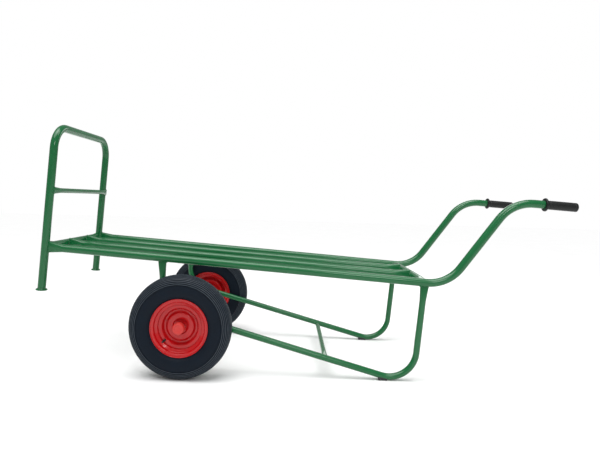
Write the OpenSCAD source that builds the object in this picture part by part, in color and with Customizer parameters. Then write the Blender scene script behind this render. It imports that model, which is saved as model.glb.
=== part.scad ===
// Two-wheeled platform wheelbarrow: welded steel tube frame on two pneumatic wheels.
// Millimetres. X runs from the front hoop towards the handles, Y is across, Z is up.
// The origin is on the floor, under the middle of the overall length and width.

/* [Platform] */
// Outer diameter of the platform, hoop and cross tubes
tube_d = 32; // [28:1:38]
// Wall thickness of the frame tubes
tube_wall = 2; // [1.5:0.5:3]
// Distance between the axes of the two side rails
rail_gap = 568; // [480:4:640]
// Distance from the hoop to the rear cross tube, along the platform
deck_len = 1524; // [1450:2:1600]
// Number of lengthwise tubes between the two side rails
deck_tubes = 2; // [2:1:2]
// Fall of the platform towards the handles, in degrees
tilt = 3.6; // [2.8:0.1:4]

/* [Handles] */
// Rise of the handle grips above the platform tubes
handle_rise = 346; // [300:2:380]
// Distance along the platform from the hoop to the lower handle bend
handle_start = 1613; // [1600:1:1640]
// Angle of the rising part of the handle, in degrees
handle_angle = 57.4; // [50:0.2:64]
// Bending radius of the handles
handle_bend = 150; // [110:5:170]
// Distance along the platform from the hoop to the end of the grips
handle_end = 2080; // [2040:1:2120]
// Length of the rubber grip behind its flange
grip_len = 122; // [110:1:130]
// Diameter of the grip
grip_d = 35; // [34.5:0.5:37]

/* [Hoop] */
// Height of the hoop's top tube above the platform tubes
hoop_rise = 490; // [400:5:560]
// Depth of the hoop's feet below the platform tubes
hoop_drop = 176; // [150:1:180]
// Bending radius of the hoop's corners
hoop_bend = 88; // [70:2:110]
// Height of the crossbar above the platform tubes
crossbar_rise = 230; // [150:5:320]
// Diameter of the crossbar and of the stand brace
bar_d = 20; // [16:1:22]

/* [Stand] */
// Outer diameter of the stand tubes
stand_d = 25; // [22:1:28]
// Distance along the platform from the hoop to the front post
post_at = 481; // [470:1:490]
// Depth of the stand's front corner below the platform tubes
post_drop = 201; // [196:1:206]
// Slope of the lower stand tube against the platform, in degrees
stand_slope = 11.4; // [11.2:0.1:11.6]
// Bending radius of the stand's two corners
stand_bend = 106; // [100:2:112]

/* [Wheels] */
// Outer diameter of the tyre
tyre_d = 400; // [396:1:404]
// Width of the tyre
tyre_w = 94; // [88:1:98]
// Distance of each wheel's middle plane from the centre line
wheel_y = 352; // [352:1:356]
// Distance along the platform from the hoop to the axle
axle_at = 590; // [580:1:600]
// Diameter of the steel axle
axle_d = 20; // [19:0.5:20]
// Outer radius of the rim's flange
rim_r = 115; // [112:1:117]

/* [Hidden] */

$fn = 96;
LEFT = -1;
RIGHT = 1;
GREEN = [0.12, 0.43, 0.27];
RED = [0.78, 0.10, 0.12];
BLACK = [0.08, 0.08, 0.10];
STEEL = [0.66, 0.67, 0.69];

tube_r = tube_d / 2;
rail_y = rail_gap / 2;
stand_r = stand_d / 2;
bar_r = bar_d / 2;
wheel_r = tyre_d / 2;
axle_r = axle_d / 2;

// Welded ends: how far a flattened end is let into the tube it is welded to
weld = 1.5;
crimp_len = 60;
crimp_step = 0.2;

// Bends: the step in radius, and the angle by which a bend reaches into the straight tube
bend_step = 0.08;
bend_let_in = 0.3;

// Stand: the lower tube's line and its corners, as [along, up] in the platform's own plane
post_lean = 20;
leg_lean = 12;
stand_front = [post_at + post_lean, -post_drop];
stand_rear_x = deck_len - leg_lean;
function stand_line(x) = stand_front[1] - (x - stand_front[0]) * tan(stand_slope);
stand_rear = [stand_rear_x, stand_line(stand_rear_x)];
stand_path = [[post_at, -tube_r + weld], stand_front, stand_rear, [deck_len, -tube_r + weld]];
stand_bends = [0, stand_bend, stand_bend, 0];

// Axle tube: welded under the two lower stand tubes
axle_tube_r = tube_r;
axle_weld = 0.3;
axle_up = stand_line(axle_at) - (stand_r + axle_tube_r - axle_weld) / cos(stand_slope);

// Rails: the side view of one rail with its handle
handle_corner = [handle_start + handle_rise / tan(handle_angle), handle_rise];
grip_end_wall = 6;
rail_end = handle_end - grip_end_wall;
rail_path = [[tube_r - weld, 0], [handle_start, 0], handle_corner, [rail_end, handle_rise]];
rail_bends = [0, handle_bend, handle_bend, 0];

// Placing the platform's plane over the floor: the tyres stand on Z = 0
deck_z = wheel_r + axle_at * sin(tilt) - axle_up * cos(tilt);
foot_r = 22.5;
foot_t = 5;
grip_corner = 4;
grip_top = handle_rise + grip_d / 2 - grip_corner;
end_x = (handle_end - grip_corner) * cos(tilt) + grip_top * sin(tilt) + grip_corner;
front_x = -foot_r * cos(tilt) - hoop_drop * sin(tilt);
deck_x = -(end_x + front_x) / 2;

// Wheel stack on the axle, as distances from the centre line
tube_half = 302;
hub_half = 35;
bush_flange = 2;
thrust_gap = 0.3;
run_gap = 0.05;
hub_in = wheel_y - hub_half;
hub_out = wheel_y + hub_half;
washer_in = hub_out + bush_flange + thrust_gap;
washer_t = 2;
circlip_t = 1.6;
circlip_gap = 0.2;
circlip_in = washer_in + washer_t + circlip_gap;
axle_tail = 3;
axle_half = circlip_in + circlip_t + axle_tail;
groove_depth = 0.8;
groove_r = axle_r - groove_depth;
hub_r = 20;
bush_r = 15;
flange_r = 17;
cap_r = 23;
cap_wall = 2.5;
cap_skirt = 9;
cap_gap = 1;
cap_out = axle_half + cap_gap + cap_wall;

// Tyre: a rounded section, from the bead seat out to the tread
seat_r = 101.5;
tyre_wall = 8;
tube_skin = 2;
bead_gap = 20;
section_power = 2.5;
section_steps = 48;
section_mid = (wheel_r + seat_r) / 2;
section_h = (wheel_r - seat_r) / 2;

// Rim: pressed steel, as half widths and radii
rim_wall = 3;
rim_half = 32;
well_half = 14;
well_r = 88;
step_z = 8;
dish_z = -8;
plateau_z = 2;
step_r = 71;
dish_out_r = 66;
dish_in_r = 57;
plateau_r = 51;
gap_r = 29;

// Valve: a rubber stem that comes through the rim beside the dish
valve_angle = 226;
valve_r = 4;
valve_cap_r = 4.6;
valve_in = 72.5;
valve_gap = 0.2;
valve_let_in = 4;
valve_cap_len = 12;
valve_z = 15;
tube_ring_r = 151;
tube_ring = 34;

function heading(p, q) = atan2(q[1] - p[1], q[0] - p[0]);
function wrap(a) = a > 180 ? a - 360 : (a < -180 ? a + 360 : a);
function inner(pts, i) = i > 0 && i < len(pts) - 1;
function turn(pts, i) = inner(pts, i) ? wrap(heading(pts[i], pts[i + 1]) - heading(pts[i - 1], pts[i])) : 0;
function cut_back(pts, radii, i) = radii[i] * abs(tan(turn(pts, i) / 2));

// A power curve between a circle and a square, for the tyre's section
function bulge(v) = sign(v) * pow(abs(v), 2 / section_power);
function section(inset) = [
    for (i = [0 : section_steps - 1])
        let (a = 360 * i / section_steps)
        [section_mid + (section_h - inset) * bulge(cos(a)), (tyre_w / 2 - inset) * bulge(sin(a))]
];

// The same outline on the other side of the wheel's middle plane, in the other order
function flip(pts) = [for (i = [len(pts) - 1 : -1 : 0]) [pts[i][0], -pts[i][1]]];

// The platform's plane: X along it, Y across, Z square to it
module platform() {
    translate([deck_x, 0, deck_z]) rotate([0, tilt, 0]) children();
}

// Turns a drawing in XY up into the side view
module side_view(y) {
    translate([0, y, 0]) rotate([90, 0, 0]) children();
}

// Turns about the wheel axle, with the child's Z pointing away from the centre line
module on_axle(side) {
    platform() translate([axle_at, 0, axle_up]) rotate([side > 0 ? -90 : 90, 0, 0]) children();
}

module straight_run(pts, radii, i, r) {
    lead = cut_back(pts, radii, i);
    run = norm(pts[i + 1] - pts[i]) - lead - cut_back(pts, radii, i + 1);
    translate([pts[i][0], pts[i][1], 0])
        rotate([0, 0, heading(pts[i], pts[i + 1])])
            translate([lead, 0, 0]) rotate([0, 90, 0]) cylinder(h = run, r = r);
}

// A bend, a touch thinner than the straight tube and let into it at both ends
module bent_run(pts, radii, i, r) {
    a = turn(pts, i);
    translate([pts[i][0], pts[i][1], 0])
        rotate([0, 0, heading(pts[i - 1], pts[i])])
            translate([-cut_back(pts, radii, i), sign(a) * radii[i], 0])
                rotate([0, 0, (a > 0 ? -90 : 90 + a) - bend_let_in])
                    rotate_extrude(angle = abs(a) + 2 * bend_let_in)
                        translate([radii[i], 0]) circle(r = r - bend_step);
}

// A round bar bent along a flat path
module bent_bar(pts, radii, r) {
    for (i = [0 : len(pts) - 2]) straight_run(pts, radii, i, r);
    for (i = [1 : len(pts) - 2]) bent_run(pts, radii, i, r);
}

// A tube bent along a flat path, with its bore stopped short of the first and the last point
module bent_tube(pts, radii, r, wall, stop_first = 0, stop_last = 0) {
    n = len(pts) - 1;
    first = pts[0] + stop_first * (pts[1] - pts[0]) / norm(pts[1] - pts[0]);
    last = pts[n] + stop_last * (pts[n - 1] - pts[n]) / norm(pts[n - 1] - pts[n]);
    bore = [for (i = [0 : n]) i == 0 ? first : (i == n ? last : pts[i])];
    difference() {
        bent_bar(pts, radii, r);
        bent_bar(bore, radii, r - wall);
    }
}

// The outline of a flattened tube end: as long round as the tube it is pressed from
module flat_outline(r, t) {
    w = PI * r - (PI / 2 - 1) * t;
    square([w - t, t], center = true);
    for (s = [-1, 1]) translate([s * (w - t) / 2, 0]) circle(d = t, $fn = 12);
}

// A flattened tube end along +Z, from the round tube at Z = 0, wide along X
module crimp(r, t = 9, length = crimp_len) {
    hull() {
        translate([0, 0, -0.5]) cylinder(h = 0.6, r = r - crimp_step, $fn = 40);
        translate([0, 0, length - 0.2]) linear_extrude(0.2) flat_outline(r, t);
    }
}

// A straight tube along Y with both ends flattened, wide along X after the turn
module crimped_cross(half, r, wall, t = 9, turned = 0) {
    core = half - crimp_len;
    rotate([90, 0, 0]) difference() {
        cylinder(h = 2 * core, r = r, center = true);
        cylinder(h = 2 * core - 8, r = r - wall, center = true);
    }
    for (s = [0, 180]) rotate([-90 + s, 0, 0]) rotate([0, 0, turned]) translate([0, 0, core]) crimp(r, t);
}

module rail(side) {
    flat_in = [[rail_path[0][0] + crimp_len, 0], rail_path[1], rail_path[2], rail_path[3]];
    platform() color(GREEN) side_view(side * rail_y) {
        bent_tube(flat_in, rail_bends, tube_r, tube_wall, stop_first = 4);
        translate([rail_path[0][0] + crimp_len, 0, 0]) rotate([0, -90, 0]) rotate([0, 0, 90]) crimp(tube_r);
    }
}

module left_rail() { rail(LEFT); }
module right_rail() { rail(RIGHT); }

module deck_tube(i) {
    y = -rail_y + rail_gap * i / (deck_tubes + 1);
    front = tube_r - weld;
    run = deck_len - 2 * front;
    platform() color(GREEN) translate([front, y, 0]) rotate([0, 90, 0]) {
        difference() {
            translate([0, 0, crimp_len]) cylinder(h = run - 2 * crimp_len, r = tube_r);
            translate([0, 0, crimp_len + 4]) cylinder(h = run - 2 * crimp_len - 8, r = tube_r - tube_wall);
        }
        translate([0, 0, crimp_len]) rotate([180, 0, 0]) crimp(tube_r);
        translate([0, 0, run - crimp_len]) crimp(tube_r);
    }
}

module left_deck_tube() { deck_tube(1); }
module right_deck_tube() { deck_tube(2); }

module front_cross_tube() {
    platform() color(GREEN) crimped_cross(rail_y - tube_r + weld, tube_r, tube_wall, turned = 90);
}

module rear_cross_tube() {
    platform() color(GREEN) translate([deck_len, 0, 0])
        crimped_cross(rail_y - tube_r + weld, tube_r, tube_wall, turned = 0);
}

module front_hoop() {
    low = -hoop_drop + foot_t;
    path = [[-rail_y, low], [-rail_y, hoop_rise], [rail_y, hoop_rise], [rail_y, low]];
    bends = [0, hoop_bend, hoop_bend, 0];
    platform() color(GREEN) rotate([90, 0, 90]) bent_tube(path, bends, tube_r, tube_wall);
}

module hoop_crossbar() {
    plate = 5;
    platform() color(GREEN) translate([tube_r + plate / 2 - weld, 0, crossbar_rise])
        crimped_cross(rail_y + 4, bar_r, 1.5, t = plate, turned = 90);
}

module hoop_foot(side) {
    plug = 10;
    platform() color(GREEN) translate([0, side * rail_y, -hoop_drop]) {
        cylinder(h = foot_t, r = foot_r);
        translate([0, 0, foot_t]) cylinder(h = plug, r = tube_r - tube_wall);
    }
}

module left_hoop_foot() { hoop_foot(LEFT); }
module right_hoop_foot() { hoop_foot(RIGHT); }

module stand(side) {
    up_front = heading(stand_front, stand_path[0]);
    up_rear = heading(stand_rear, stand_path[3]);
    len_front = norm(stand_path[0] - stand_front) - crimp_len;
    len_rear = norm(stand_path[3] - stand_rear) - crimp_len;
    front_top = stand_front + len_front * [cos(up_front), sin(up_front)];
    rear_top = stand_rear + len_rear * [cos(up_rear), sin(up_rear)];
    platform() color(GREEN) side_view(side * rail_y) {
        bent_tube([front_top, stand_front, stand_rear, rear_top], stand_bends, stand_r, tube_wall, 4, 4);
        translate([front_top[0], front_top[1], 0]) rotate([0, 0, up_front]) stand_top();
        translate([rear_top[0], rear_top[1], 0]) rotate([0, 0, up_rear]) stand_top();
    }
}

// The flattened top of a post, welded under the rail, along +X
module stand_top() {
    rotate([0, 90, 0]) rotate([0, 0, 90]) crimp(stand_r);
}

module left_stand() { stand(LEFT); }
module right_stand() { stand(RIGHT); }

module stand_brace() {
    along = 1162;
    platform() color(GREEN) translate([along, 0, stand_line(along)]) rotate([0, stand_slope, 0])
        crimped_cross(rail_y - stand_r + weld, bar_r, 1.5, t = 5, turned = 0);
}

module stand_pad(side) {
    pad_l = 34;
    pad_w = 22;
    cheek = 6;
    along = 1392;
    x = deck_x + along * cos(tilt) + stand_line(along) * sin(tilt);
    slope = stand_slope + tilt;
    top = deck_z - along * sin(tilt) + stand_line(along) * cos(tilt);
    color(BLACK) difference() {
        translate([x - pad_l / 2, side * rail_y - pad_w / 2, 0]) cube([pad_l, pad_w, top]);
        translate([x, side * rail_y, top]) rotate([0, 90 + slope, 0])
            cylinder(h = 3 * pad_l, r = stand_r, center = true);
        translate([x, side * rail_y, top]) rotate([0, slope, 0])
            translate([-pad_l, -pad_w, -stand_r + cheek]) cube([2 * pad_l, 2 * pad_w, 3 * stand_r]);
    }
}

module left_stand_pad() { stand_pad(LEFT); }
module right_stand_pad() { stand_pad(RIGHT); }

module axle_tube() {
    color(GREEN) on_axle(RIGHT) difference() {
        cylinder(h = 2 * tube_half, r = axle_tube_r, center = true);
        cylinder(h = 2 * tube_half + 2, r = axle_r + 0.1, center = true);
    }
}

module axle() {
    color(STEEL) on_axle(RIGHT) difference() {
        cylinder(h = 2 * axle_half, r = axle_r, center = true);
        for (s = [0, 180]) rotate([s, 0, 0]) translate([0, 0, circlip_in - 0.05]) difference() {
            cylinder(h = circlip_t + 0.1, r = axle_r + 1);
            translate([0, 0, -1]) cylinder(h = circlip_t + 3, r = groove_r);
        }
    }
}

module grip(side) {
    flange_r_max = 26;
    flange_t = 9;
    body = [
        [0, 0], [grip_d / 2, 0],
        [grip_d / 2, grip_len - grip_corner],
        for (a = [0 : 15 : 90])
            [grip_d / 2 - grip_corner + grip_corner * cos(a), grip_len - grip_corner + grip_corner * sin(a)],
        [0, grip_len]
    ];
    platform() color(BLACK) translate([handle_end - grip_len, side * rail_y, handle_rise])
        rotate([0, 90, 0]) difference() {
            union() {
                rotate_extrude() polygon(body);
                translate([0, 0, -flange_t / 2]) rotate_extrude() {
                    translate([0, 0]) square([flange_r_max - flange_t / 2, flange_t]);
                    translate([flange_r_max - flange_t / 2, flange_t / 2]) circle(d = flange_t);
                }
            }
            translate([0, 0, -flange_t]) cylinder(h = grip_len + flange_t - grip_end_wall, r = tube_r);
        }
}

module left_grip() { grip(LEFT); }
module right_grip() { grip(RIGHT); }

// Parts fixed on the axle
module spacer(side) {
    color(STEEL) on_axle(side) translate([0, 0, tube_half]) difference() {
        cylinder(h = hub_in - bush_flange - thrust_gap - tube_half, r = bush_r);
        translate([0, 0, -1]) cylinder(h = hub_in - tube_half, r = axle_r + 0.1);
    }
}

module washer(side) {
    color(STEEL) on_axle(side) translate([0, 0, washer_in]) difference() {
        cylinder(h = washer_t, r = flange_r);
        translate([0, 0, -1]) cylinder(h = washer_t + 2, r = axle_r + 0.1);
    }
}

module circlip(side) {
    color(STEEL) on_axle(side) translate([0, 0, circlip_in]) difference() {
        cylinder(h = circlip_t, r = axle_r + 3.5);
        translate([0, 0, -1]) cylinder(h = circlip_t + 2, r = groove_r + 0.1);
        translate([-groove_r / 2, 0, -1]) cube([groove_r, 2 * axle_r, circlip_t + 2]);
    }
}

module left_spacer() { spacer(LEFT); }
module right_spacer() { spacer(RIGHT); }
module left_washer() { washer(LEFT); }
module right_washer() { washer(RIGHT); }
module left_circlip() { circlip(LEFT); }
module right_circlip() { circlip(RIGHT); }

// Parts that turn with the wheel
module tyre(side) {
    bead_rise = tyre_wall + 3.5;
    side_gap = 0.1;
    seat_gap = 0.2;
    lip_gap = 0.3;
    color(BLACK) on_axle(side) translate([0, 0, wheel_y]) difference() {
        rotate_extrude() polygon(section(0));
        rotate_extrude() difference() {
            polygon(section(tyre_wall));
            square([seat_r + tyre_wall, tyre_w], center = true);
        }
        cylinder(h = 2 * bead_gap, r = seat_r + bead_rise, center = true);
        cylinder(h = 2 * tyre_w, r = seat_r + seat_gap, center = true);
        for (s = [0, 180]) rotate([s, 0, 0]) translate([0, 0, rim_half - rim_wall - side_gap])
            cylinder(h = tyre_w, r = rim_r + lip_gap);
    }
}

module inner_tube(side) {
    color(BLACK) on_axle(side) translate([0, 0, wheel_y]) difference() {
        rotate_extrude() translate([tube_ring_r, 0]) circle(r = tube_ring);
        rotate_extrude() translate([tube_ring_r, 0]) circle(r = tube_ring - tube_skin);
    }
}

module rim(side) {
    w = rim_wall;
    lip = 5;
    ramp = 5;
    draft = 1;
    nose = 2;
    lap = 0.5;
    set_in = 1.5;
    set_out = 2;
    tyre_face = [
        [well_r, well_half], [seat_r - draft, well_half + ramp], [seat_r, rim_half - w],
        [rim_r - nose, rim_half - w], [rim_r, rim_half], [rim_r, rim_half + lip]
    ];
    open_face = [
        [rim_r - w, rim_half + lip], [rim_r - w, rim_half + draft], [rim_r - w - nose, rim_half],
        [seat_r - w, rim_half], [seat_r - w - draft, well_half + ramp + w], [well_r - w, well_half + w]
    ];
    half = concat(tyre_face, open_face);
    face = [
        [well_r - w + lap, step_z], [step_r, step_z], [dish_out_r, dish_z], [dish_in_r, dish_z],
        [plateau_r, plateau_z], [gap_r, plateau_z],
        [gap_r, plateau_z - 2 * w], [hub_r - lap, plateau_z - 2 * w]
    ];
    back = [
        [hub_r - lap, plateau_z - 3 * w], [gap_r + w, plateau_z - 3 * w], [gap_r + w, plateau_z - w],
        [plateau_r - set_in, plateau_z - w], [dish_in_r - set_in, dish_z - w],
        [dish_out_r + set_out, dish_z - w], [step_r + set_out, step_z - w], [well_r - w + lap, step_z - w]
    ];
    color(RED) on_axle(side) translate([0, 0, wheel_y]) difference() {
        rotate_extrude() {
            polygon(concat(half, flip(half)));
            polygon(concat(face, back));
        }
        valve_line(side) translate([0, 0, well_r - 2 * w])
            cylinder(h = rim_r - well_r, r = valve_r + valve_gap);
    }
}

// The valve's line, out from the wheel's centre: low and forward on both wheels
module valve_line(side) {
    rotate([0, 0, -side * valve_angle])
        translate([0, 0, valve_z])
            rotate([0, 90, 0]) children();
}

module hub(side) {
    color(RED) on_axle(side) translate([0, 0, wheel_y]) difference() {
        cylinder(h = 2 * hub_half, r = hub_r, center = true);
        cylinder(h = 2 * hub_half + 2, r = bush_r, center = true);
    }
}

module bush(side, outer) {
    bush_len = 22;
    color([0.85, 0.85, 0.82]) on_axle(side) translate([0, 0, outer ? hub_out : hub_in])
        rotate([outer ? 180 : 0, 0, 0]) difference() {
            union() {
                translate([0, 0, -bush_flange]) cylinder(h = bush_flange, r = flange_r);
                cylinder(h = bush_len, r = bush_r);
            }
            translate([0, 0, -bush_flange - 1])
                cylinder(h = bush_len + bush_flange + 2, r = axle_r + run_gap);
        }
}

module hub_cap(side) {
    skirt_in = hub_out - cap_skirt;
    color(RED) on_axle(side) translate([0, 0, skirt_in]) difference() {
        rotate_extrude() polygon([
            [0, 0], [cap_r, 0], [cap_r, cap_out - skirt_in - 5], [cap_r - 1.5, cap_out - skirt_in - 1.5],
            [cap_r - 5, cap_out - skirt_in], [0, cap_out - skirt_in]
        ]);
        translate([0, 0, -1]) cylinder(h = cap_out - skirt_in - cap_wall + 1, r = hub_r);
    }
}

module valve(side) {
    stem_in = valve_in + valve_cap_len - valve_let_in;
    stem_out = tube_ring_r - sqrt(tube_ring * tube_ring - valve_z * valve_z) + 1;
    color(BLACK) on_axle(side) translate([0, 0, wheel_y]) valve_line(side)
        translate([0, 0, stem_in]) cylinder(h = stem_out - stem_in, r = valve_r);
}

module valve_cap(side) {
    color(BLACK) on_axle(side) translate([0, 0, wheel_y]) valve_line(side)
        translate([0, 0, valve_in]) difference() {
            cylinder(h = valve_cap_len, r = valve_cap_r);
            translate([0, 0, valve_cap_len - valve_let_in]) cylinder(h = valve_let_in + 1, r = valve_r);
        }
}

module left_tyre() { tyre(LEFT); }
module left_inner_tube() { inner_tube(LEFT); }
module left_rim() { rim(LEFT); }
module left_hub() { hub(LEFT); }
module left_inner_bush() { bush(LEFT, false); }
module left_outer_bush() { bush(LEFT, true); }
module left_hub_cap() { hub_cap(LEFT); }
module left_valve() { valve(LEFT); }
module left_valve_cap() { valve_cap(LEFT); }
module right_tyre() { tyre(RIGHT); }
module right_inner_tube() { inner_tube(RIGHT); }
module right_rim() { rim(RIGHT); }
module right_hub() { hub(RIGHT); }
module right_inner_bush() { bush(RIGHT, false); }
module right_outer_bush() { bush(RIGHT, true); }
module right_hub_cap() { hub_cap(RIGHT); }
module right_valve() { valve(RIGHT); }
module right_valve_cap() { valve_cap(RIGHT); }

left_rail();
right_rail();
left_deck_tube();
right_deck_tube();
front_cross_tube();
rear_cross_tube();
front_hoop();
hoop_crossbar();
left_hoop_foot();
right_hoop_foot();
left_stand();
right_stand();
stand_brace();
left_stand_pad();
right_stand_pad();
axle_tube();
axle();
left_grip();
right_grip();
left_spacer();
left_washer();
left_circlip();
right_spacer();
right_washer();
right_circlip();
left_tyre();
left_inner_tube();
left_rim();
left_hub();
left_inner_bush();
left_outer_bush();
left_hub_cap();
left_valve();
left_valve_cap();
right_tyre();
right_inner_tube();
right_rim();
right_hub();
right_inner_bush();
right_outer_bush();
right_hub_cap();
right_valve();
right_valve_cap();
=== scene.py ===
from math import cos, hypot, pi, radians, sin, sqrt

import bmesh
import bpy
from mathutils import Matrix, Vector


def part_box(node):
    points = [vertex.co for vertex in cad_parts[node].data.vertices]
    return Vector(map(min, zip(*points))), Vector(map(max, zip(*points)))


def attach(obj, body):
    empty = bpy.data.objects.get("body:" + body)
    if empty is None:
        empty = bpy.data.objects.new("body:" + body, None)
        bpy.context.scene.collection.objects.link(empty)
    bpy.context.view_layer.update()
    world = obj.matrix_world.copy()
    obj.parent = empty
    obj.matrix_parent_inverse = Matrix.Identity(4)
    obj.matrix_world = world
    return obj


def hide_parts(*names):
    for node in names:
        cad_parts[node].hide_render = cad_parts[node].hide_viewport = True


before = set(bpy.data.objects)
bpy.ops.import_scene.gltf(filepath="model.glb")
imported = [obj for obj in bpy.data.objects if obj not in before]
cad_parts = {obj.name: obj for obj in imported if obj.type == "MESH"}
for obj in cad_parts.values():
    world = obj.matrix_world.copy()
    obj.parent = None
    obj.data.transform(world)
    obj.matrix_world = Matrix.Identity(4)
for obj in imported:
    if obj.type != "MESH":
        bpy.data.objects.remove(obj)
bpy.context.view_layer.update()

# ---------------------------------------------------------------------------
# Studio: a matt white floor, a white sky that is dimmed where it lights things,
# a broad ceiling light, and three softboxes: overhead and on the two sides. The
# camera stands at waist height off the left side.
# ---------------------------------------------------------------------------
MM = 0.001


def linear(code, alpha=1.0):
    """The linear colour of an sRGB hex value."""
    values = [int(code[i : i + 2], 16) / 255 for i in (1, 3, 5)]
    values = [v / 12.92 if v <= 0.04045 else ((v + 0.055) / 1.055) ** 2.4 for v in values]
    return (*values, alpha)


def new_finish(name):
    """An empty finish, with its shader and the place on the piece that its patterns read."""
    finish = bpy.data.materials.new(name)
    finish.use_nodes = True
    tree = finish.node_tree
    return finish, tree.nodes["Principled BSDF"], tree.nodes.new("ShaderNodeTexCoord").outputs["Object"]


def add_node(finish, kind, sockets=None, **settings):
    """Adds one shader node: settings are its properties, sockets its values or the outputs that feed it."""
    made = finish.node_tree.nodes.new("ShaderNode" + kind)
    for key, value in settings.items():
        setattr(made, key, value)
    for key, value in (sockets or {}).items():
        if isinstance(value, bpy.types.NodeSocket):
            finish.node_tree.links.new(value, made.inputs[key])
        else:
            made.inputs[key].default_value = value
    return made


def feed(finish, shader, **outputs):
    """Links outputs to the shader's sockets, whose names are given with _ for a space."""
    for key, value in outputs.items():
        finish.node_tree.links.new(value, shader.inputs[key.replace("_", " ")])


# Seamless studio paper: matt, with a faint cloudy tone so that it isn't dead flat
paper, shader, place = new_finish("studio_paper")
clouds_per_metre = 3.0
cloud = add_node(paper, "TexNoise", {"Vector": place, "Scale": clouds_per_metre, "Detail": 4.0})
off_white = {0: cloud.outputs["Fac"], 6: linear("#F4F4F4"), 7: linear("#FAFAFA")}
white = add_node(paper, "Mix", off_white, data_type="RGBA")
feed(paper, shader, Base_Color=white.outputs[2])
shader.inputs["Roughness"].default_value = 0.9
shader.inputs["Specular IOR Level"].default_value = 0.1

FLOOR_HALF_M = 14.0
bm = bmesh.new()
bmesh.ops.create_grid(bm, x_segments=1, y_segments=1, size=FLOOR_HALF_M)
floor_mesh = bpy.data.meshes.new("studio_floor")
bm.to_mesh(floor_mesh)
bm.free()
floor_mesh.materials.append(paper)
studio_floor = bpy.data.objects.new("studio_floor", floor_mesh)
bpy.context.collection.objects.link(studio_floor)

# The sky lights the object weakly, so that dark rubber stays dark, and shows white behind it
SKY_LIGHT = 0.38
SKY_SEEN = 1.0
studio_sky = bpy.data.worlds.new("studio_sky")
studio_sky.use_nodes = True
background = studio_sky.node_tree.nodes["Background"]
background.inputs["Color"].default_value = (1.0, 1.0, 1.0, 1.0)
seen = add_node(studio_sky, "LightPath")
sky_range = {"Value": seen.outputs["Is Camera Ray"], "To Min": SKY_LIGHT, "To Max": SKY_SEEN}
dimmer = add_node(studio_sky, "MapRange", sky_range)
feed(studio_sky, background, Strength=dimmer.outputs[0])
bpy.context.scene.world = studio_sky
bpy.context.scene.view_settings.view_transform = "Standard"


def softbox(name, at, target, width, height, power):
    """A rectangular area light that faces the target. Places and sizes are in metres, power in watts."""
    light = bpy.data.lights.new(name, "AREA")
    light.shape = "RECTANGLE"
    light.size = width
    light.size_y = height
    light.energy = power
    lamp = bpy.data.objects.new(name, light)
    lamp.location = at
    lamp.rotation_euler = (Vector(target) - Vector(at)).to_track_quat("-Z", "Y").to_euler()
    bpy.context.collection.objects.link(lamp)


ceiling_light = bpy.data.lights.new("ceiling_light", "SUN")
ceiling_light.energy = 2.3
ceiling_light.angle = radians(55)
ceiling_lamp = bpy.data.objects.new("ceiling_light", ceiling_light)
ceiling_lamp.rotation_euler = (radians(14), radians(-8), 0.0)
bpy.context.collection.objects.link(ceiling_lamp)
softbox("overhead_softbox", (0.1, -0.4, 3.0), target=(0.0, 0.0, 0.3), width=3.0, height=0.9, power=26.0)
softbox("camera_side_softbox", (1.0, -3.4, 2.2), target=(0.0, 0.0, 0.3), width=0.9, height=0.9, power=22.0)
softbox("far_side_softbox", (1.4, 3.0, 1.8), target=(0.0, 0.0, 0.4), width=1.4, height=1.0, power=12.0)

camera_data = bpy.data.cameras.new("camera")
camera_data.lens = 30.0
camera_data.sensor_width = 36.0
camera_data.shift_x = 0.0497
camera_data.shift_y = -0.0424
camera = bpy.data.objects.new("camera", camera_data)
camera.location = (-53.98 * MM, -2269.96 * MM, 701.81 * MM)
camera.rotation_euler = (radians(89.907), radians(-1.527), radians(2.137))
bpy.context.collection.objects.link(camera)
bpy.context.scene.camera = camera

# ---------------------------------------------------------------------------
# Tube frame: platform rails that run on into the handles, two tubes between
# them, cross tubes, front hoop and stands. Welded steel tube, powder coated.
# ---------------------------------------------------------------------------


def middle(node):
    """The middle of a CAD node's box."""
    low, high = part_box(node)
    return (low + high) / 2


def smooth_copy(node, name, body, finish, sharp=32):
    """A copy of a CAD node, merged and with its round faces shaded smooth, which stands for the node."""
    bm = bmesh.new()
    bm.from_mesh(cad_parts[node].data)
    bmesh.ops.remove_doubles(bm, verts=bm.verts, dist=0.01 * MM)
    for face in bm.faces:
        face.smooth = True
        face.material_index = 0
    mesh = bpy.data.meshes.new(name)
    bm.to_mesh(mesh)
    bm.free()
    for layer in ("custom_normal", "UVMap"):
        if layer in mesh.attributes:
            mesh.attributes.remove(mesh.attributes[layer])
    mesh.set_sharp_from_angle(angle=radians(sharp))
    mesh.materials.append(finish)
    piece = bpy.data.objects.new(name, mesh)
    bpy.context.collection.objects.link(piece)
    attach(piece, body)
    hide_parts(node)
    return piece


# Gloss green powder coat on steel: even and bright, with a faint orange peel,
# slightly darker where it is thin. Its handling scratches are drawn 14 mm long
# and 2 mm wide, coarser than real ones, so that they show
SCRATCH_LONG = 14.0
SCRATCH_WIDE = 2.0
green_coat, shader, place = new_finish("green_gloss_powder_coat")
tone = add_node(green_coat, "TexNoise", {"Vector": place, "Scale": 1 / (60 * MM), "Detail": 3.0})
thin_to_thick = {0: tone.outputs["Fac"], 6: linear("#0E5A2F"), 7: linear("#136336")}
base = add_node(green_coat, "Mix", thin_to_thick, data_type="RGBA")
stretch = (1.0, SCRATCH_LONG / SCRATCH_WIDE, SCRATCH_LONG / SCRATCH_WIDE)
streak_way = add_node(green_coat, "Mapping", {"Vector": place, "Scale": stretch})
streaks = add_node(green_coat, "TexNoise", {
    "Vector": streak_way.outputs[0], "Scale": 1 / (SCRATCH_LONG * MM), "Detail": 6.0, "Roughness": 0.7,
})
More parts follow.
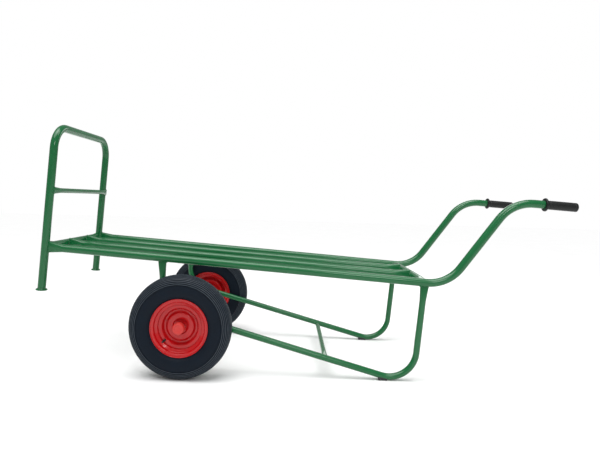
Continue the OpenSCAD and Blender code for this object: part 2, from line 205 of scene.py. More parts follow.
scratch = add_node(green_coat, "MapRange", {
    "Value": streaks.outputs["Fac"], "From Min": 0.72, "From Max": 0.8, "To Max": 0.2,
})
scratched = {0: scratch.outputs[0], 6: base.outputs[2], 7: linear("#5F9E7C")}
light_green = add_node(green_coat, "Mix", scratched, data_type="RGBA")
matt_spots = add_node(green_coat, "TexNoise", {"Vector": place, "Scale": 1 / (25 * MM), "Detail": 5.0})
gloss = add_node(green_coat, "MapRange", {
    "Value": matt_spots.outputs["Fac"], "From Min": 0.3, "From Max": 0.7, "To Min": 0.15, "To Max": 0.23,
})
peel = add_node(green_coat, "TexNoise", {"Vector": place, "Scale": 1 / (2.5 * MM), "Detail": 2.0})
skin = add_node(green_coat, "Bump", {"Height": peel.outputs["Fac"], "Strength": 0.06, "Distance": 0.1 * MM})
feed(
    green_coat, shader, Base_Color=light_green.outputs[2], Roughness=gloss.outputs[0],
    Normal=skin.outputs[0],
)
shader.inputs["Specular IOR Level"].default_value = 0.35
shader.inputs["Coat Weight"].default_value = 0.2
shader.inputs["Coat Roughness"].default_value = 0.05

for node in (
    "left_rail", "right_rail", "left_deck_tube", "right_deck_tube", "front_cross_tube", "rear_cross_tube",
    "front_hoop", "hoop_crossbar", "left_stand", "right_stand", "stand_brace", "axle_tube",
):
    smooth_copy(node, "tube_" + node, "frame", green_coat)

# ---------------------------------------------------------------------------
# Weld beads: where each tube end meets another tube. Mild steel laid in
# overlapping ripples, painted with the frame.
# ---------------------------------------------------------------------------
# Sizes in mm: the tubes' radii, half the width and half the thickness of each
# flattened tube end, and half the length and width of the other seams
RAIL_R = 16.0
STAND_R = 12.5
FLAT_RAIL = (22.5, 4.5)
FLAT_STAND = (17.0, 4.5)
FLAT_BAR = (14.3, 2.5)
CROSSBAR_SEAM = (FLAT_BAR[0], 5.0)
DECK_TUBE_SEAM = (FLAT_RAIL[1] + 0.8, 9.0)
AXLE_SEAM = (7.5, 7.5)
# Places in mm from the hoop's foot line: along the platform, or up from it
FRONT_LEG = 483.0
LEG_INSET = 1.0
CROSSBAR_UP = 230.0
HOOP_END = -171.0
# The angle between the platform and the stand's lower tubes
STAND_LEAN = radians(11.4)
BEAD_R = 2.4
RIPPLE_PITCH = 4.5
RIPPLE_SHARE = 0.16
HOOP_STEPS = 84
deck_front = middle("front_cross_tube")
deck_rear = middle("rear_cross_tube")
deck_len = (deck_rear - deck_front).length / MM
ALONG = (deck_rear - deck_front).normalized()
ACROSS = Vector((0.0, 1.0, 0.0))
UPRIGHT = ALONG.cross(ACROSS)
rail_half = middle("right_rail").y / MM
deck_third = middle("right_deck_tube").y / MM


def on_deck(along, across, up):
    """A point of the sloping platform, from the hoop's foot line, in metres."""
    return deck_front + (ALONG * along + ACROSS * across + UPRIGHT * up) * MM


def weld_path(at, out, grain, half_grain, half_side, radius):
    """The line round a tube end on a tube of that radius: the grain is its axis, and out leaves it."""
    side = grain.cross(out)
    fewest, steps_per_mm = 48, 3.2
    steps = max(fewest, int(steps_per_mm * (half_grain + half_side)))
    path = []
    for i in range(steps):
        turn = 2 * pi * i / steps
        across = half_side * sin(turn)
        lift = sqrt(max(radius * radius - across * across, 0.0))
        path.append(at + (grain * half_grain * cos(turn) + side * across + out * lift) * MM)
    return path


bead_curve = bpy.data.curves.new("weld_beads", "CURVE")
bead_curve.dimensions = "3D"
bead_curve.bevel_depth = BEAD_R * MM
bead_curve.bevel_resolution = 1


def lay_bead(path):
    """Adds one closed bead to the curve, with ripples along it."""
    spline = bead_curve.splines.new("POLY")
    spline.points.add(len(path) - 1)
    spline.use_cyclic_u = True
    gone = 0.0
    for i, at in enumerate(path):
        gone += (at - path[i - 1]).length / MM
        spline.points[i].co = (*at, 1.0)
        spline.points[i].radius = 1.0 + RIPPLE_SHARE * cos(2 * pi * gone / RIPPLE_PITCH)


brace = middle("stand_brace")
axle_line = middle("axle_tube")
stand_way = (ALONG * cos(STAND_LEAN) - UPRIGHT * sin(STAND_LEAN)).normalized()
stand_down = -(UPRIGHT * cos(STAND_LEAN) + ALONG * sin(STAND_LEAN))
round_the_leg = [2 * pi * i / HOOP_STEPS for i in range(HOOP_STEPS)]
for side in (-1, 1):
    y = side * rail_half
    inward = -side * ACROSS
    lay_bead(weld_path(on_deck(0, y, 0), ALONG, UPRIGHT, *FLAT_RAIL, RAIL_R))
    lay_bead(weld_path(on_deck(0, y, 0), inward, UPRIGHT, *FLAT_RAIL, RAIL_R))
    lay_bead(weld_path(on_deck(deck_len, y, 0), inward, ALONG, *FLAT_RAIL, RAIL_R))
    lay_bead(weld_path(on_deck(FRONT_LEG, y, 0), -UPRIGHT, ALONG, *FLAT_STAND, RAIL_R))
    lay_bead(weld_path(on_deck(deck_len - LEG_INSET, y, 0), -UPRIGHT, ALONG, *FLAT_STAND, RAIL_R))
    lay_bead(weld_path(on_deck(0, y, CROSSBAR_UP), ALONG, UPRIGHT, *CROSSBAR_SEAM, RAIL_R))
    lay_bead(weld_path(Vector((brace.x, y * MM, brace.z)), inward, stand_way, *FLAT_BAR, STAND_R))
    on_stand = Vector((axle_line.x, y * MM, axle_line.z)) - stand_down * (RAIL_R + STAND_R) * MM
    lay_bead(weld_path(on_stand, stand_down, stand_way, *AXLE_SEAM, STAND_R))
    mid = side * deck_third
    lay_bead(weld_path(on_deck(0, mid, 0), ALONG, ACROSS, *DECK_TUBE_SEAM, RAIL_R))
    lay_bead(weld_path(on_deck(deck_len, mid, 0), -ALONG, ACROSS, *DECK_TUBE_SEAM, RAIL_R))
    foot = on_deck(0, y, HOOP_END)
    lay_bead([foot + (ALONG * cos(a) + ACROSS * sin(a)) * RAIL_R * MM for a in round_the_leg])

bead_tool = bpy.data.objects.new("bead_tool", bead_curve)
bead_mesh = bpy.data.meshes.new_from_object(bead_tool)
bpy.data.objects.remove(bead_tool)
bead_mesh.name = "weld_beads"
for face in bead_mesh.polygons:
    face.use_smooth = True
bead_mesh.materials.clear()
bead_mesh.materials.append(green_coat)
weld_beads = bpy.data.objects.new("weld_beads", bead_mesh)
bpy.context.collection.objects.link(weld_beads)
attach(weld_beads, "frame")

# ---------------------------------------------------------------------------
# Hoop feet: round steel plates welded under the hoop's two legs, with their
# edges rolled over and painted with the frame.
# ---------------------------------------------------------------------------


def turned(name, outline, place, body, finish, nodes=(), steps=96, sharp=32):
    """A piece turned about its own Z from closed outlines, then set at place.

    An outline is a list of (radius, height, rounding) in mm.
    """
    bm = bmesh.new()
    for loop in outline:
        corners = [bm.verts.new((r * MM, 0.0, z * MM)) for r, z, _ in loop]
        for i, corner in enumerate(corners):
            bm.edges.new((corners[i - 1], corner))
        for corner, (_, _, rounding) in zip(corners, loop):
            if rounding:
                bmesh.ops.bevel(
                    bm, geom=[corner], offset=rounding * MM, segments=4, profile=0.5,
                    affect="VERTICES", material=-1,
                )
    bmesh.ops.spin(
        bm, geom=bm.verts[:] + bm.edges[:], axis=(0, 0, 1), cent=(0, 0, 0),
        angle=2 * pi, steps=steps, use_merge=True,
    )
    bmesh.ops.remove_doubles(bm, verts=bm.verts, dist=0.005 * MM)
    bmesh.ops.dissolve_degenerate(bm, edges=bm.edges, dist=0.001 * MM)
    bmesh.ops.recalc_face_normals(bm, faces=bm.faces)
    bmesh.ops.transform(bm, matrix=place, verts=bm.verts)
    return finish_piece(bm, name, body, finish, nodes, sharp)


def finish_piece(bm, name, body, finish, nodes, sharp):
    """Makes a piece of a bmesh that is in place, which rides on the body and stands for the nodes."""
    for face in bm.faces:
        face.smooth = True
    mesh = bpy.data.meshes.new(name)
    bm.to_mesh(mesh)
    bm.free()
    mesh.set_sharp_from_angle(angle=radians(sharp))
    mesh.materials.append(finish)
    piece = bpy.data.objects.new(name, mesh)
    bpy.context.collection.objects.link(piece)
    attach(piece, body)
    if nodes:
        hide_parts(*nodes)
    return piece


def set_at(origin, x_way, z_way):
    """The place of a turned piece, from its origin and the ways of its X and Z."""
    y_way = z_way.cross(x_way)
    place = Matrix((x_way, y_way, z_way)).transposed().to_4x4()
    place.translation = origin
    return place


FOOT_R = 22.5
PLATE = 5.0
SPIGOT_R = 14.0
SPIGOT_TOP = 15.0
foot_outline = [
    (0, 0, 0), (FOOT_R, 0, 1.4), (FOOT_R, PLATE, 1.8), (SPIGOT_R, PLATE, 0),
    (SPIGOT_R, SPIGOT_TOP, 0), (0, SPIGOT_TOP, 0),
]
for side, hand in ((-1, "left"), (1, "right")):
    foot_place = set_at(on_deck(0, side * rail_half, HOOP_END - PLATE), ALONG, UPRIGHT)
    turned(
        hand + "_foot_plate", [foot_outline], foot_place, "frame", green_coat,
        [hand + "_hoop_foot"], steps=64,
    )

# ---------------------------------------------------------------------------
# Tyres: 4.00-8 pneumatic tyres of black carbon rubber, moulded with fine
# circumferential ribs over the crown and shoulders, and smooth side walls.
# ---------------------------------------------------------------------------
WHEEL_R = 200.0
TYRE_HALF = 47.0
SEAT_R = 101.5
WALL = 8.0
SHOULDER_R = 162.0
# The roundness of the section: 2 is an ellipse, and more is squarer
SECTION_POWER = 2.5
# The ribs are drawn 7 mm apart, coarser than a real tyre's, so that they show
RIB_PITCH = 7.0
RIB_DEPTH = 2.8
# One rib and its groove, as (share of the pitch, depth under the section)
RIB_SHAPE = ((0.0, 0.0), (0.3, 0.0), (0.42, RIB_DEPTH), (0.78, RIB_DEPTH), (0.9, 0.0))
# The side wall lies a little under the section, and its last steps, beside the
# rim, carry fine raised rings
WALL_STEPS = 28
WALL_SINK = 0.9
RING_STEPS = 8
RING_SINK = 0.4
WALL_START_GAP = 1.0
WALL_END = radians(132.5)
# The bead on its seat, as (radius, across), and the top of its inner side
BEAD = [(112.6, 33.5), (112.6, 29.6), (SEAT_R + 1.0, 28.6), (SEAT_R + 0.6, 21.0), (SEAT_R + 7.0, 20.0)]
BEAD_TOP = SEAT_R + 8.0
INNER_STEPS = 12
INNER_END = radians(134.0)
# Steps in which the length along the section is measured
WALK_STEP = radians(0.25)
WALK_COUNT = 524
# A point nearer the middle line than this isn't mirrored
MIDDLE_GAP = 0.01
section_mid = (WHEEL_R + SEAT_R) / 2
section_half = (WHEEL_R - SEAT_R) / 2


def section(turn, inset=0.0):
    """A point (radius, across) on the tyre's rounded section. Turn is 0 at the crown."""
    up = abs(cos(turn)) ** (2 / SECTION_POWER) * (1 if cos(turn) > 0 else -1)
    out = abs(sin(turn)) ** (2 / SECTION_POWER) * (1 if sin(turn) > 0 else -1)
    return section_mid + (section_half - inset) * up, (TYRE_HALF - inset) * out


def section_normal(turn):
    """The outward direction of the section at that turn."""
    nudge = 0.004
    r0, z0 = section(turn - nudge)
    r1, z1 = section(turn + nudge)
    size = hypot(r1 - r0, z1 - z0)
    return (z1 - z0) / size, -(r1 - r0) / size


def sunk(turn, depth):
    """The point (radius, across) that lies that deep under the section."""
    r, z = section(turn)
    nr, nz = section_normal(turn)
    return r - nr * depth, z - nz * depth


def tyre_outline():
    """The closed outline of the tyre: ribs over the crown, side walls, beads and the inner wall."""
    walk = [(0.0, 0.0)]
    last = (WHEEL_R, 0.0)
    for i in range(1, WALK_COUNT + 1):
        r, z = section(WALK_STEP * i)
        walk.append((walk[-1][0] + hypot(r - last[0], z - last[1]), WALK_STEP * i))
        last = (r, z)
        if r > SHOULDER_R:
            ribbed = walk[-1][0]
    ribs = round(ribbed / RIB_PITCH)
    pitch = ribbed / ribs

    def turn_at(distance):
        """The turn at which the section has run that far from the crown."""
        for (d0, t0), (d1, t1) in zip(walk, walk[1:]):
            if d1 >= distance:
                return t0 + (t1 - t0) * (distance - d0) / (d1 - d0)

    one_side = []
    for i in range(ribs):
        for part, depth in RIB_SHAPE:
            if i or part:
                one_side.append(sunk(turn_at((i + part) * pitch), depth))
    wall_start = turn_at(ribbed + WALL_START_GAP)
    for i in range(WALL_STEPS + 1):
        turn = wall_start + (WALL_END - wall_start) * i / WALL_STEPS
        on_ring = i % 2 and i > WALL_STEPS - RING_STEPS
        one_side.append(sunk(turn, RING_SINK if on_ring else WALL_SINK))
    one_side += BEAD
    for i in range(INNER_STEPS + 1):
        r, z = section(INNER_END * (1 - i / INNER_STEPS), WALL)
        one_side.append((max(r, BEAD_TOP), z))
    other_side = [(r, -z) for r, z in one_side if abs(z) > MIDDLE_GAP]
    return [(r, z, 0) for r, z in [section(0.0)] + one_side + other_side[::-1]]


# Moulded tyre rubber: blue-black and matt, with a haze of dust. Its grain is
# drawn 1.2 mm wide, coarser than the real few tenths, so that it shows
tyre_rubber, shader, place = new_finish("moulded_tyre_rubber")
bloom = add_node(tyre_rubber, "TexNoise", {"Vector": place, "Scale": 1 / (35 * MM), "Detail": 6.0})
black_to_blue = {0: bloom.outputs["Fac"], 6: linear("#081019"), 7: linear("#0F1A26")}
rubber_base = add_node(tyre_rubber, "Mix", black_to_blue, data_type="RGBA")
dust = add_node(tyre_rubber, "TexNoise", {"Vector": place, "Scale": 1 / (4 * MM), "Detail": 4.0})
dust_amount = add_node(tyre_rubber, "MapRange", {
    "Value": dust.outputs["Fac"], "From Min": 0.5, "From Max": 0.75, "To Max": 0.3,
})
dusted = {0: dust_amount.outputs[0], 6: rubber_base.outputs[2], 7: linear("#141D27")}
dusty = add_node(tyre_rubber, "Mix", dusted, data_type="RGBA")
rough = add_node(tyre_rubber, "MapRange", {
    "Value": bloom.outputs["Fac"], "From Min": 0.3, "From Max": 0.7, "To Min": 0.46, "To Max": 0.62,
})
grain = add_node(tyre_rubber, "TexNoise", {"Vector": place, "Scale": 1 / (1.2 * MM), "Detail": 3.0})
skin = add_node(tyre_rubber, "Bump", {"Height": grain.outputs["Fac"], "Strength": 0.3, "Distance": 0.15 * MM})
feed(tyre_rubber, shader, Base_Color=dusty.outputs[2], Roughness=rough.outputs[0], Normal=skin.outputs[0])
shader.inputs["IOR"].default_value = 1.52
shader.inputs["Specular IOR Level"].default_value = 0.12

# The same rubber on the ribs' tops, painted paler than the grooves as a highlight where the ribs catch the
# light, and a little shinier
rib_top_highlight_rubber, shader, place = new_finish("tyre_rib_top_painted_highlight")
rib_top_tone = add_node(rib_top_highlight_rubber, "TexNoise", {"Vector": place, "Scale": 1 / (18 * MM), "Detail": 6.0})
rubbed_and_highlit = {0: rib_top_tone.outputs["Fac"], 6: linear("#2B3239"), 7: linear("#4A525B")}
rib_top_highlight_grey = add_node(rib_top_highlight_rubber, "Mix", rubbed_and_highlit, data_type="RGBA")
rib_top_rough = add_node(rib_top_highlight_rubber, "MapRange", {"Value": rib_top_tone.outputs["Fac"], "To Min": 0.4, "To Max": 0.6})
skin = add_node(rib_top_highlight_rubber, "Bump", {"Height": rib_top_tone.outputs["Fac"], "Strength": 0.2, "Distance": 0.15 * MM})
feed(
    rib_top_highlight_rubber, shader, Base_Color=rib_top_highlight_grey.outputs[2], Roughness=rib_top_rough.outputs[0],
    Normal=skin.outputs[0],
)
shader.inputs["Specular IOR Level"].default_value = 0.2

# A face counts as a rib's top, which gets the painted highlight, if it lies this near the full section, and
# this far out
TOP_FULLNESS = 0.985
TOP_FROM_R = SHOULDER_R - 2
axle_mid = middle("axle")
wheel_place = {}
wheel_half = middle("right_tyre").y
for side, hand in ((-1, "left"), (1, "right")):
    hub_point = Vector((axle_mid.x, side * wheel_half, axle_mid.z))
    wheel_place[hand] = set_at(hub_point, ALONG, side * ACROSS)
    tyre = turned(
        hand + "_ribbed_tyre", [tyre_outline()], wheel_place[hand], hand + "_wheel",
        tyre_rubber, [hand + "_tyre"], steps=144, sharp=24,
    )
    # The tyre's second finish is the paler rib-top rubber: a painted highlight on the ribs' tops
    tyre.data.materials.append(rib_top_highlight_rubber)
    for face in tyre.data.polygons:
        away = (face.center - hub_point) / MM
        radius = hypot(away.x, away.z)
        up = abs(radius - section_mid) / section_half
        out = abs(away.y) / TYRE_HALF
        if radius > TOP_FROM_R and up ** SECTION_POWER + out ** SECTION_POWER > TOP_FULLNESS:
            face.material_index = 1

# ---------------------------------------------------------------------------
# Inner tubes: rings of butyl rubber, moulded, laid round the rims' wells and
# blown up inside the tyres. They are closed in and out of sight.
# ---------------------------------------------------------------------------
# Butyl rubber: smooth, black and slightly powdery. The valve stems and the
# stand's pads have it too
butyl, shader, place = new_finish("butyl_rubber")
powder = add_node(butyl, "TexNoise", {"Vector": place, "Scale": 1 / (12 * MM), "Detail": 5.0})
powdered = {0: powder.outputs["Fac"], 6: linear("#151517"), 7: linear("#26262A")}
butyl_black = add_node(butyl, "Mix", powdered, data_type="RGBA")
butyl_rough = add_node(butyl, "MapRange", {"Value": powder.outputs["Fac"], "To Min": 0.4, "To Max": 0.65})
skin = add_node(butyl, "Bump", {"Height": powder.outputs["Fac"], "Strength": 0.2, "Distance": 0.2 * MM})
feed(
    butyl, shader, Base_Color=butyl_black.outputs[2], Roughness=butyl_rough.outputs[0],
    Normal=skin.outputs[0],
)
for hand in ("left", "right"):
    smooth_copy(hand + "_inner_tube", hand + "_butyl_tube", hand + "_wheel", butyl)

# ---------------------------------------------------------------------------
# Rims: pressed steel, enamelled red: a rolled lip, the bead seats and well,
# and a dished disc, welded in, with a raised ring, a deep channel and a flat
# middle that the hub barrel is welded through.
# ---------------------------------------------------------------------------
SHEET = 3.0
LIP_R = 112.0
LIP_HALF = 37.0
RIM_HALF = 32.0
WELL_HALF = 14.0
WELL_R = 88.0
DISC_R = WELL_R - 2.5
# Corners of one half of the rim, on the open side and on the tyre's side
open_half = [
    (LIP_R, LIP_HALF, 1.4), (LIP_R - SHEET, LIP_HALF, 1.4), (LIP_R - SHEET, RIM_HALF + 1, 0.6),
    (LIP_R - SHEET - 3, RIM_HALF, 2.0), (SEAT_R - SHEET, RIM_HALF, 4.5),
    (SEAT_R - SHEET - 1.5, WELL_HALF + 8, 2.5), (WELL_R - SHEET, WELL_HALF + 3, 2.5),
]
tyre_half = [
    (WELL_R, WELL_HALF, 2.5), (SEAT_R - 1, WELL_HALF + 5, 2.0), (SEAT_R, RIM_HALF - SHEET, 1.5),
    (LIP_R - 2, RIM_HALF - SHEET, 1.5), (LIP_R, RIM_HALF, 0.8),
]
rim_loop = tyre_half + open_half + [(r, -z, c) for r, z, c in (tyre_half + open_half)[::-1]]
# Corners of the disc, over its outer face and back under it
disc_loop = [
    (DISC_R, 8, 0), (71, 8, 3.2), (66, -8, 3.2), (57, -8, 3.2), (51, 2, 3.2), (29, 2, 2.6),
    (29, -4, 2.2), (19.5, -4, 0), (19.5, -7, 0), (32, -7, 2.2), (32, -1, 2.2), (49.5, -1, 2.4),
    (55.5, -11, 2.4), (68, -11, 2.4), (73, 5, 2.4), (DISC_R, 5, 0),
]

# Red enamel on pressed steel: bright gloss with a soft wave in the sheet, deeper
# in tone where the coat is thick, and pale where it is rubbed
red_enamel, shader, place = new_finish("red_gloss_enamel")
tone = add_node(red_enamel, "TexNoise", {"Vector": place, "Scale": 1 / (45 * MM), "Detail": 3.0})
thick_to_thin = {0: tone.outputs["Fac"], 6: linear("#AE0A10"), 7: linear("#BC1217")}
red_base = add_node(red_enamel, "Mix", thick_to_thin, data_type="RGBA")
rubs = add_node(red_enamel, "TexNoise", {
    "Vector": place, "Scale": 1 / (9 * MM), "Detail": 7.0, "Roughness": 0.75,
})
rub_amount = add_node(red_enamel, "MapRange", {
    "Value": rubs.outputs["Fac"], "From Min": 0.7, "From Max": 0.78, "To Max": 0.35,
})
rubbed_and_highlit = {0: rub_amount.outputs[0], 6: red_base.outputs[2], 7: linear("#D96A70")}
red_tone = add_node(red_enamel, "Mix", rubbed_and_highlit, data_type="RGBA")
red_gloss = add_node(red_enamel, "MapRange", {
    "Value": tone.outputs["Fac"], "From Min": 0.3, "From Max": 0.7, "To Min": 0.13, "To Max": 0.22,
})
wave = add_node(red_enamel, "TexNoise", {"Vector": place, "Scale": 1 / (3 * MM), "Detail": 2.0})
skin = add_node(red_enamel, "Bump", {"Height": wave.outputs["Fac"], "Strength": 0.08, "Distance": 0.1 * MM})
feed(
    red_enamel, shader, Base_Color=red_tone.outputs[2], Roughness=red_gloss.outputs[0],
    Normal=skin.outputs[0],
)
shader.inputs["Specular IOR Level"].default_value = 0.3
shader.inputs["Coat Weight"].default_value = 0.3
shader.inputs["Coat Roughness"].default_value = 0.05

for hand in ("left", "right"):
    turned(
        hand + "_pressed_rim", [rim_loop, disc_loop], wheel_place[hand], hand + "_wheel",
        red_enamel, [hand + "_rim"], steps=112, sharp=40,
    )
    smooth_copy(hand + "_hub", hand + "_hub_barrel", hand + "_wheel", red_enamel)

# ---------------------------------------------------------------------------
# Hub caps: moulded red plastic, pushed over the hubs' outer ends, with a
# softly rounded rim and a shallow dished top.
# ---------------------------------------------------------------------------
# Injection moulded polypropylene: satin, a lighter red than the enamel. Its
# grain is drawn 0.9 mm wide, coarser than spark-eroded grain, so that it shows
red_moulding, shader, place = new_finish("red_moulded_polypropylene")
tone = add_node(red_moulding, "TexNoise", {"Vector": place, "Scale": 1 / (10 * MM), "Detail": 3.0})
deep_to_light = {0: tone.outputs["Fac"], 6: linear("#BE2722"), 7: linear("#C9322C")}
cap_red = add_node(red_moulding, "Mix", deep_to_light, data_type="RGBA")
grain = add_node(red_moulding, "TexNoise", {"Vector": place, "Scale": 1 / (0.9 * MM), "Detail": 2.0})
cap_rough = add_node(red_moulding, "MapRange", {"Value": grain.outputs["Fac"], "To Min": 0.34, "To Max": 0.5})
skin = add_node(red_moulding, "Bump", {
    "Height": grain.outputs["Fac"], "Strength": 0.2, "Distance": 0.08 * MM,
})
feed(
    red_moulding, shader, Base_Color=cap_red.outputs[2], Roughness=cap_rough.outputs[0],
    Normal=skin.outputs[0],
)
shader.inputs["Subsurface Weight"].default_value = 0.06
shader.inputs["Subsurface Radius"].default_value = (0.003, 0.001, 0.001)

CAP_R = 23.0
CAP_BORE = 20.0
CAP_SIDE_R = 22.2
DISH_R = 13.0
DISH = 1.1
cap_low, cap_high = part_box("right_hub_cap")
cap_base = (cap_low.y - wheel_half) / MM
cap_top = (cap_high.y - wheel_half) / MM
cap_under = cap_top - 2.6
cap_loop = [
    (CAP_BORE, cap_base, 0.5), (CAP_R, cap_base, 0.8), (CAP_R, cap_base + 5, 0.4),
    (CAP_SIDE_R + 0.2, cap_base + 5.6, 0.4), (CAP_SIDE_R, cap_top, 4.2), (DISH_R, cap_top, 1.2),
    (DISH_R - 1.5, cap_top - DISH, 0.8), (0.0, cap_top - DISH, 0), (0.0, cap_under, 0),
    (CAP_BORE, cap_under, 1.5),
]
for hand in ("left", "right"):
    turned(
        hand + "_domed_hub_cap", [cap_loop], wheel_place[hand], hand + "_wheel",
        red_moulding, [hand + "_hub_cap"], steps=72,
    )

# ---------------------------------------------------------------------------
# Axle and its fittings: a zinc plated steel bar through the axle tube, with
# spacers, washers and circlips, and a nylon bush in each end of each hub.
# ---------------------------------------------------------------------------
# Bright zinc plate on turned steel: pale silver with a faint blue cast, dulled
# in patches. The turning marks are drawn 2 mm apart, coarser than a lathe's, so
# that they show: a wave repeats every 0.314 of its scale
zinc, shader, place = new_finish("bright_zinc_plate")
patches = add_node(zinc, "TexNoise", {"Vector": place, "Scale": 1 / (8 * MM), "Detail": 5.0})
dull_to_bright = {0: patches.outputs["Fac"], 6: linear("#A9ADB3"), 7: linear("#C6C8CC")}
silver = add_node(zinc, "Mix", dull_to_bright, data_type="RGBA")
zinc_rough = add_node(zinc, "MapRange", {"Value": patches.outputs["Fac"], "To Min": 0.22, "To Max": 0.46})
marks = {"Vector": place, "Scale": 1 / (6 * MM), "Distortion": 1.0}
turning = add_node(zinc, "TexWave", marks, bands_direction="Y")
skin = add_node(zinc, "Bump", {"Height": turning.outputs["Fac"], "Strength": 0.12, "Distance": 0.05 * MM})
feed(zinc, shader, Base_Color=silver.outputs[2], Roughness=zinc_rough.outputs[0], Normal=skin.outputs[0])
shader.inputs["Metallic"].default_value = 1.0

# Moulded nylon: cream white and waxy
nylon, shader, place = new_finish("moulded_nylon")
mottle = add_node(nylon, "TexNoise", {"Vector": place, "Scale": 1 / (6 * MM), "Detail": 3.0})
cream_to_white = {0: mottle.outputs["Fac"], 6: linear("#DAD8CC"), 7: linear("#E9E7DD")}
cream = add_node(nylon, "Mix", cream_to_white, data_type="RGBA")
nylon_rough = add_node(nylon, "MapRange", {"Value": mottle.outputs["Fac"], "To Min": 0.35, "To Max": 0.5})
feed(nylon, shader, Base_Color=cream.outputs[2], Roughness=nylon_rough.outputs[0])
shader.inputs["Subsurface Weight"].default_value = 0.1
shader.inputs["Subsurface Radius"].default_value = (0.002, 0.002, 0.0015)

smooth_copy("axle", "plated_axle", "frame", zinc)
for hand in ("left", "right"):
    for part in ("spacer", "washer", "circlip"):
        smooth_copy(hand + "_" + part, hand + "_plated_" + part, "frame", zinc)
    for part in ("inner_bush", "outer_bush"):
        smooth_copy(hand + "_" + part, hand + "_nylon_" + part, hand + "_wheel", nylon)

# ---------------------------------------------------------------------------
# Valves: a rubber stem moulded to the inner tube, which comes through the rim
# beside the disc. A small plastic cap is screwed on, drawn without its fine ribs.
# ---------------------------------------------------------------------------
# Black moulded plastic of the valve caps and grips: dark grey and satin. Its
# leather grain is drawn 1.6 mm wide, coarser than the real one, so that it shows
black_moulding, shader, place = new_finish("black_moulded_grip_plastic")
pebble = add_node(black_moulding, "TexVoronoi", {"Vector": place, "Scale": 1 / (1.6 * MM)})
tone = add_node(black_moulding, "TexNoise", {"Vector": place, "Scale": 1 / (20 * MM), "Detail": 4.0})
black_to_grey = {0: tone.outputs["Fac"], 6: linear("#0B0E0D"), 7: linear("#151918")}
grip_grey = add_node(black_moulding, "Mix", black_to_grey, data_type="RGBA")
grip_rough = add_node(black_moulding, "MapRange", {
    "Value": tone.outputs["Fac"], "To Min": 0.36, "To Max": 0.56,
})
skin = add_node(black_moulding, "Bump", {
    "Height": pebble.outputs["Distance"], "Strength": 0.35, "Distance": 0.12 * MM,
})
feed(
    black_moulding, shader, Base_Color=grip_grey.outputs[2], Roughness=grip_rough.outputs[0],
    Normal=skin.outputs[0],
)
shader.inputs["Specular IOR Level"].default_value = 0.3

# Radii in mm, and distances from the wheel's axis. The collar grips the hole in the rim
VALVE_IN = 72.5
STEM_R = 4.0
STEM_END = 120.0
STEM_TIP = VALVE_IN + 8
COLLAR_R = 5.4
VALVE_CAP_R = 4.6
VALVE_CAP_END = VALVE_IN + 12
# How far the valve stands out from the wheel's middle, and its turn from the platform's way in degrees
VALVE_OUT = 15.0
VALVE_TURN = 226.0
stem_loop = [
    (0, STEM_TIP, 0), (STEM_R, STEM_TIP, 0.3), (STEM_R, 86.5, 0.6), (COLLAR_R, 88.4, 0.6),
    (STEM_R, 91.0, 0.6), (STEM_R, STEM_END, 0), (0, STEM_END, 0),
]
valve_cap_loop = [
    (0, VALVE_IN, 0), (3.6, VALVE_IN, 0.7), (3.9, VALVE_IN + 4, 0.4), (VALVE_CAP_R, VALVE_IN + 5, 0.5),
    (VALVE_CAP_R, VALVE_CAP_END, 0.5), (STEM_R, VALVE_CAP_END, 0), (STEM_R, STEM_TIP, 0), (0, STEM_TIP, 0),
]
for side, hand in ((-1, "left"), (1, "right")):
    valve_place = (
        wheel_place[hand] @ Matrix.Rotation(radians(-side * VALVE_TURN), 4, "Z")
        @ Matrix.Translation((0, 0, VALVE_OUT * MM)) @ Matrix.Rotation(radians(90), 4, "Y")
    )
    turned(
        hand + "_valve_stem", [stem_loop], valve_place, hand + "_wheel", butyl,
        [hand + "_valve"], steps=32,
    )
    turned(
        hand + "_ribbed_valve_cap", [valve_cap_loop], valve_place, hand + "_wheel",
        black_moulding, [hand + "_valve_cap"], steps=28,
    )

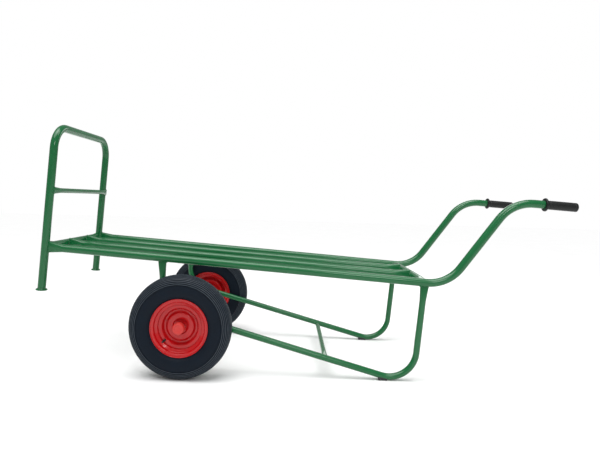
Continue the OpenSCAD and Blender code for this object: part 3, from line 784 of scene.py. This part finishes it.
# ---------------------------------------------------------------------------
# Handle grips: moulded sleeves with a round guard at the inner end, pushed
# over the ends of the rails.
# ---------------------------------------------------------------------------
GRIP_LEN = 122.0
GRIP_R = 17.5
GROOVE_R = 17.0
BORE_R = 16.1
END_WALL = 6.0
GUARD_R = 26.0
GUARD_HALF = 4.5
# Where the handles end: along the platform from the hoop's foot line, and up from it
HANDLE_END = 2080.0
HANDLE_UP = 346.0
grip_loop = [
    (BORE_R, -GUARD_HALF, 0.6), (GUARD_R, -GUARD_HALF, 4.0), (GUARD_R, GUARD_HALF, 4.0),
    (19.5, GUARD_HALF, 1.5), (GROOVE_R, 8.0, 1.5), (GROOVE_R, 14.0, 1.0), (GRIP_R, 15.5, 1.0),
    (GRIP_R, GRIP_LEN - 16, 0.8), (GROOVE_R, GRIP_LEN - 14.5, 0.8), (GROOVE_R, GRIP_LEN - 12.5, 0.8),
    (GRIP_R, GRIP_LEN - 11, 0.8), (GRIP_R, GRIP_LEN, 4.5), (0, GRIP_LEN, 0),
    (0, GRIP_LEN - END_WALL, 0), (BORE_R, GRIP_LEN - END_WALL, 0),
]
for side, hand in ((-1, "left"), (1, "right")):
    grip_origin = on_deck(HANDLE_END - GRIP_LEN, side * rail_half, HANDLE_UP)
    turned(
        hand + "_moulded_grip", [grip_loop], set_at(grip_origin, UPRIGHT, ALONG), "frame",
        black_moulding, [hand + "_grip"], steps=72,
    )

# ---------------------------------------------------------------------------
# Stand pads: blocks of black rubber under the lower stand tubes, at the two
# places where the stand meets the floor.
# ---------------------------------------------------------------------------
PAD_ROUND = 2.0
for hand in ("left", "right"):
    pad_low, pad_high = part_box(hand + "_stand_pad")
    bm = bmesh.new()
    bmesh.ops.create_cube(bm, size=1.0)
    bmesh.ops.scale(bm, vec=pad_high - pad_low, verts=bm.verts)
    bmesh.ops.translate(bm, vec=(pad_low + pad_high) / 2, verts=bm.verts)
    bmesh.ops.bevel(
        bm, geom=bm.edges[:], offset=PAD_ROUND * MM, segments=4, profile=0.5,
        affect="EDGES", material=-1, clamp_overlap=True,
    )
    bmesh.ops.recalc_face_normals(bm, faces=bm.faces)
    finish_piece(
        bm, hand + "_rubber_pad", "frame", butyl, [hand + "_stand_pad"], sharp=40,
    )
